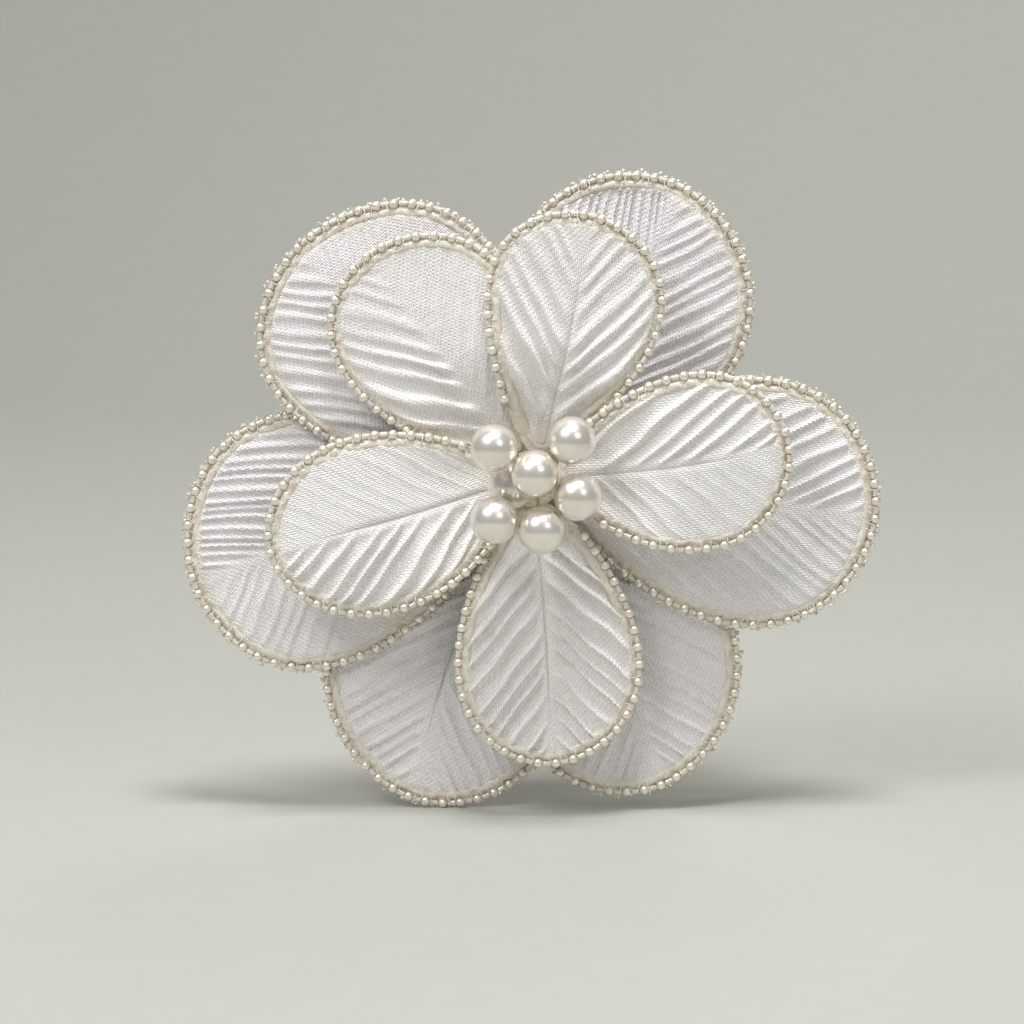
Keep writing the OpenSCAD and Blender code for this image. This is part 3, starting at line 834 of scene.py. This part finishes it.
def thread_end(name, length, thick):
    """A short spike of clear thread along +Y, bent a little."""
    select_only()
    bpy.ops.mesh.primitive_cone_add(vertices=5, radius1=thick, radius2=0.35 * thick, depth=length)
    spike = bpy.context.object
    spike.name = name
    lying = Matrix.Rotation(math.radians(-90), 4, "X")
    spike.data.transform(lying @ Matrix.Translation((0, 0, length / 2)))
    bpy.ops.object.mode_set(mode="EDIT")
    select_where(spike, "VERT", lambda v: v.co.y > 0.5 * length)
    bpy.ops.transform.translate(value=(0.25 * length, 0, 0.1 * length))
    bpy.ops.object.mode_set(mode="OBJECT")
    return spike


def strung(name, bead, places):
    """One object that holds a copy of the bead at each of the places, given as matrices."""
    shape = bmesh.new()
    for place in places:
        first = len(shape.verts)
        shape.from_mesh(bead.data)
        shape.verts.ensure_lookup_table()
        bmesh.ops.transform(shape, matrix=place, verts=shape.verts[first:])
    return object_of(name, shape)


def along_line(centres, middle):
    """The beads in order round their petal: [(centre, the line's direction, the way out)]."""
    def angle(c):
        return math.atan2(c.z - middle.z, c.x - middle.x)
    gap = math.atan2(-middle.z, -middle.x)  # the bare root lies towards the flower's axis
    order = sorted(centres, key=lambda c: (angle(c) - gap) % (2 * math.pi))
    found = []
    for k, centre in enumerate(order):
        ahead = order[min(k + 1, len(order) - 1)] - order[max(k - 1, 0)]
        out = ahead.cross(FORWARDS).normalized()
        if out.dot(centre - middle) < 0:
            out = -out
        found.append((centre, ahead.normalized(), out))
    return found


def set_in(centre, x, y, z):
    """A matrix that puts a piece at a centre with its axes along x, y and z."""
    turned = Matrix((x, y, z)).transposed().to_4x4()
    return Matrix.Translation(centre) @ turned


def bead_places(line):
    """Each bead with its hole along the line it is strung on."""
    return [set_in(c, out, ahead.cross(out), ahead) for c, ahead, out in line]


STITCHES_UNSEEN = 0.4  # the share of them that lies hidden


def stitch_places(line, rng):
    """Stitches beside each pearl, from its thread over the binding to the cloth."""
    places = []
    for centre, ahead, out in line:
        for side in (-0.85, 0.85):  # mm before and past the pearl's middle
            if rng.random() < STITCHES_UNSEEN:
                continue
            at = centre + ahead * (side + rng.uniform(-0.15, 0.15)) * MM
            at -= out * rng.uniform(0.6, 0.85) * MM - FORWARDS * rng.uniform(0.15, 0.3) * MM
            skew = Matrix.Rotation(rng.uniform(-0.5, 0.5), 4, "Z")
            places.append(set_in(at, out, FORWARDS.cross(out), FORWARDS) @ skew)
    return places


# ---- the eleven petals ----------------------------------------------------------------------------

PEARL_R = 0.82 * MM
GLASS_R = 0.51 * MM
GLASS_L = 1.22 * MM
HOLE_R = 0.25 * MM

# One of each, which strung() copies
BEADS = {
    "pearl": round_bead("pearl_pattern", PEARL_R, segments=14, rings=9),
    "glass": tube_bead("glass_pattern", GLASS_R, GLASS_L, HOLE_R, sides=10),
    "seed": round_bead("seed_pattern", 0.32 * MM, segments=8, rings=6),
    "stitch": thread_loop("stitch_pattern", radius=0.62 * MM, thick=0.08 * MM),
    "spike": thread_end("spike_pattern", length=0.9 * MM, thick=0.06 * MM),
}


PER_GAP = 2  # seed beads, and as many thread ends, between two pearls


def scatter_fringe(name, line, rng):
    """Clear seed beads and thread ends that stand out between a back petal's pearls."""
    seeds, spikes = [], []
    for (centre, ahead, out), (following, _, _) in zip(line, line[1:]):
        between = (centre + following) / 2
        for _ in range(PER_GAP):
            at = between + out * rng.uniform(0.45, 1.0) * MM + ahead * rng.uniform(-0.9, 0.9) * MM
            at += FORWARDS * rng.uniform(-0.5, 0.5) * MM
            size = rng.uniform(0.7, 1.15)
            spin = Matrix.Rotation(rng.uniform(0, math.pi), 4, rng.choice("XYZ"))
            seeds.append(set_in(at, out, ahead.cross(out), ahead) @ spin @ Matrix.Scale(size, 4))
        for _ in range(PER_GAP):
            at = between + out * 0.3 * MM + ahead * rng.uniform(-1.4, 1.4) * MM
            turn = Matrix.Rotation(rng.uniform(-0.7, 0.7), 4, "Z")
            tilt = turn @ Matrix.Rotation(rng.uniform(-0.6, 0.6), 4, "X")
            place = set_in(at, ahead, out, ahead.cross(out)) @ tilt
            spikes.append(place @ Matrix.Scale(rng.uniform(0.6, 1.25), 4))
    return (strung(name + "_seeds", BEADS["seed"], seeds),
            strung(name + "_threads", BEADS["spike"], spikes))


LAP = {"front": 0.75 * MM, "back": 0.3 * MM}  # how far the cloth lies over its binding


def make_petal(row, number):
    """A petal's cloth with its binding, its beads and its stitches, and a back petal's fringe."""
    name = f"{row}_petal_{number}"
    seed = number + (10 if row == "front" else 0)
    cloth, edge, (width, length, area) = make_cloth(name, seed, LAP[row])
    finish_piece(cloth, "flower", row + "_satin", [name])
    low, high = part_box(name)
    middle = (low + high) / 2
    pearl_line = along_line(islands(f"{row}_pearls_{number}"), middle)
    binding = make_binding(name + "_binding", edge, [centre for centre, _, _ in pearl_line], seed)
    finish_piece(binding, "flower", "binding", [f"{row}_binding_{number}"])
    glass_line = along_line(islands(f"{row}_glass_{number}"), middle)
    pearls = strung(name + "_pearls", BEADS["pearl"], bead_places(pearl_line))
    finish_piece(pearls, "flower", "edge_pearl", [f"{row}_pearls_{number}"])
    glass = strung(name + "_glass", BEADS["glass"], bead_places(glass_line))
    finish_piece(glass, "flower", "clear_glass", [f"{row}_glass_{number}"])
    places = stitch_places(pearl_line, random.Random(seed))
    stitches = strung(name + "_stitches", BEADS["stitch"], places)
    finish_piece(stitches, "flower", "clear_thread")
    if row == "back":
        seeds, threads = scatter_fringe(name, pearl_line, random.Random(seed))
        finish_piece(seeds, "flower", "clear_glass")
        finish_piece(threads, "flower", "clear_thread")


for petal_name in PRESSING:
    row_name, _, petal_number = petal_name.split("_")
    make_petal(row_name, int(petal_number))

for pattern in BEADS.values():
    bpy.data.objects.remove(pattern)


# ---- the centre -----------------------------------------------------------------------------------

def make_centre_pearls():
    """Seven large drilled pearls, each turned to have its hole over its stem."""
    radius, hole_depth = 3.99 * MM, 1.2 * MM
    select_only()
    bpy.ops.mesh.primitive_uv_sphere_add(segments=56, ring_count=28, radius=radius)
    bead = bpy.context.object
    bpy.ops.object.mode_set(mode="EDIT")
    select_where(bead, "VERT", lambda v: v.co.z > radius - 0.01 * MM)
    bpy.ops.transform.translate(value=(0, 0, -hole_depth))
    end_editing(50)
    places = []
    for centre in islands("centre_pearls"):
        stem_foot = Vector((0.35 * centre.x, -2 * MM, 0.35 * centre.z))
        stem = (stem_foot - centre).normalized()
        side = stem.cross(Vector((1, 0, 0))).normalized()
        places.append(set_in(centre, side, stem.cross(side), stem))
    pearls = strung("centre_pearl_cluster", bead, places)
    bpy.data.objects.remove(bead)
    finish_piece(pearls, "flower", "centre_pearl", ["centre_pearls"])


def make_stem_bundle():
    """The stems' roots and the petals' roots, wound round with tape whose laps show as steps."""
    low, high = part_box("stem_bundle")
    radius, depth, laps, step = (high.x - low.x) / 2, high.y - low.y, 5, 1.035
    select_only()
    bpy.ops.mesh.primitive_circle_add(vertices=48, radius=0.96 * radius, fill_type="NGON",
                                      location=(0, high.y, 0), rotation=(math.pi / 2, 0, 0))
    bundle = bpy.context.object
    bundle.name = "taped_bundle"
    bpy.ops.object.transform_apply(location=True, rotation=True)
    bpy.ops.object.mode_set(mode="EDIT")
    bpy.ops.mesh.select_mode(type="FACE")
    bpy.ops.mesh.select_all(action="SELECT")
    for _ in range(laps):
        for share, scale in ((0.12, step), (0.82, 1.0), (0.06, 1 / step)):
            ahead = share * depth / laps
            bpy.ops.mesh.extrude_region_move(TRANSFORM_OT_translate={"value": (0, -ahead, 0)})
            bpy.ops.transform.resize(value=(scale, 1, scale), center_override=(0, 0, 0))
    bpy.ops.mesh.inset(thickness=0.45 * MM)
    bpy.ops.mesh.select_all(action="SELECT")
    bpy.ops.mesh.normals_make_consistent(inside=False)
    end_editing(40)
    finish_piece(bundle, "flower", "floral_tape", ["stem_bundle"])


def make_felt():
    """The felt disc behind the flower: a cut edge, and two faces that aren't quite flat."""
    low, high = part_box("felt_cover")
    radius, rings, spokes = (high.x - low.x) / 2, 34, 144
    shape = bmesh.new()
    faces, rims = [], []
    for inward, depth in ((1, low.y), (-1, high.y)):
        middle = shape.verts.new((0, depth, 0))
        rows = []
        for ring in range(1, rings + 1):
            row = []
            for spoke in range(spokes):
                angle = 2 * math.pi * spoke / spokes
                spot = Vector((math.cos(angle), 0, math.sin(angle)))
                spot *= radius * math.sqrt(ring / rings)
                # how far the face is sunk, in mm: more at the rim, where it is cut
                sunk = 0.07 * noise.noise(spot / (1.1 * MM)) + 0.05 * noise.noise(spot / (4 * MM))
                if ring == rings:
                    spot *= 0.992 + 0.006 * noise.noise(spot / (1.5 * MM))
                    sunk += 0.12
                spot.y = depth + inward * (0.08 + sunk) * MM
                row.append(shape.verts.new(spot))
            rows.append(row)
        for k in range(spokes):
            n = (k + 1) % spokes
            faces.append(shape.faces.new((middle, rows[0][k], rows[0][n])))
            faces += [shape.faces.new((a[k], b[k], b[n], a[n])) for a, b in zip(rows, rows[1:])]
        rims.append(rows[-1])
    near, far = rims
    for k in range(spokes):
        n = (k + 1) % spokes
        faces.append(shape.faces.new((near[k], far[k], far[n], near[n])))
    for made in faces:
        made.smooth = True
    bmesh.ops.recalc_face_normals(shape, faces=shape.faces)
    disc = object_of("felt_disc", shape)
    select_only(disc)
    shade_smooth(50)
    finish_piece(disc, "flower", "felt", ["felt_cover"])


# ---- the clip -------------------------------------------------------------------------------------

def softened(node, body, finish, edge_r):
    """Stands in for a hard CAD node with a copy of it whose sharp edges are rounded off."""
    shape = bmesh.new()
    shape.from_mesh(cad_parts[node].data)
    bmesh.ops.remove_doubles(shape, verts=shape.verts, dist=SAME_PLACE)
    bmesh.ops.dissolve_limit(shape, angle_limit=math.radians(1), verts=shape.verts, edges=shape.edges)
    copy = object_of(node + "_rounded", shape)
    select_only(copy)
    if copy.data.has_custom_normals:
        bpy.ops.mesh.customdata_custom_splitnormals_clear()
    rounding = copy.modifiers.new("rounding", "BEVEL")
    rounding.width = edge_r
    rounding.segments = 2
    rounding.limit_method = "ANGLE"
    rounding.angle_limit = math.radians(30)
    bpy.ops.object.modifier_apply(modifier=rounding.name)
    shade_smooth(35)
    return finish_piece(copy, body, finish, [node])


def make_spring():
    """The torsion spring: a coil of round wire round the pin, with a leg along each arm's tail."""
    low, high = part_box("clip_hinge_pin")
    hinge = (low + high) / 2
    coil_r, wire_r, turns, long_leg = 1.6 * MM, 0.3 * MM, 4 + 148 / 360, 10 * MM
    # the coil ends 148 degrees past its fourth turn, where the second leg leaves it along its tangent
    inside, drop, tail = 3.4 * MM, 1.05 * MM, math.radians(180 - 148)
    select_only()
    bpy.ops.mesh.primitive_circle_add(vertices=10, radius=wire_r, location=(coil_r, 0, -inside / 2),
                                      rotation=(math.pi / 2, 0, 0))
    spring = bpy.context.object
    spring.name = "torsion_spring"
    bpy.ops.object.transform_apply(location=True, rotation=True)
    coil = spring.modifiers.new("coil", "SCREW")
    coil.axis = "Z"
    coil.angle = -2 * math.pi * turns
    coil.screw_offset = inside
    coil.steps = coil.render_steps = 130
    bpy.ops.object.modifier_apply(modifier=coil.name)
    spring.data.transform(Matrix.Rotation(-math.pi / 2, 4, "Z"))
    bpy.ops.object.mode_set(mode="EDIT")
    reach = Vector((long_leg, -drop, 0)), Vector((math.cos(tail), math.sin(tail), 0)) * long_leg
    for end, leg in zip((-1, 1), reach):
        select_open_edges()
        for share in (0.04, 0.96):  # a short first piece keeps the bend tight
            shape = bmesh.from_edit_mesh(spring.data)
            for edge in shape.edges:
                if end * sum(v.co.z for v in edge.verts) < 0:
                    edge.select_set(False)
            bmesh.update_edit_mesh(spring.data)
            bpy.ops.mesh.extrude_region_move(TRANSFORM_OT_translate={"value": leg * share})
    bpy.ops.mesh.select_all(action="SELECT")
    bpy.ops.mesh.fill_holes(sides=0)
    bpy.ops.mesh.select_all(action="SELECT")
    bpy.ops.mesh.normals_make_consistent(inside=False)
    end_editing(50)
    spring.data.transform(Matrix.Translation(hinge))
    finish_piece(spring, None, "spring_steel", ["clip_spring"])
    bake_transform(spring)


make_centre_pearls()
make_stem_bundle()
make_felt()
softened("base_disc", "flower", "buckram", edge_r=0.15 * MM)
softened("clip_upper_arm", "flower", "clip_steel", edge_r=0.14 * MM)
softened("clip_lower_arm", "lower_jaw", "clip_steel", edge_r=0.09 * MM)
softened("clip_hinge_pin", "flower", "clip_steel", edge_r=0.12 * MM)
make_spring()

# the wires keep their CAD shape
for node in ("pearl_stems", "back_bead_wires", "front_bead_wires"):
    for material_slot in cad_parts[node].material_slots:
        material_slot.material = FINISHES["bead_wire"]

make_sweep(floor_z=CAD_BOX[0].z).data.materials.append(sweep_paper())
light_the_stage()
make_camera(aim=(-3.5 * MM, -8 * MM, -6.2 * MM), distance=0.8, elevation=11, lens=167)
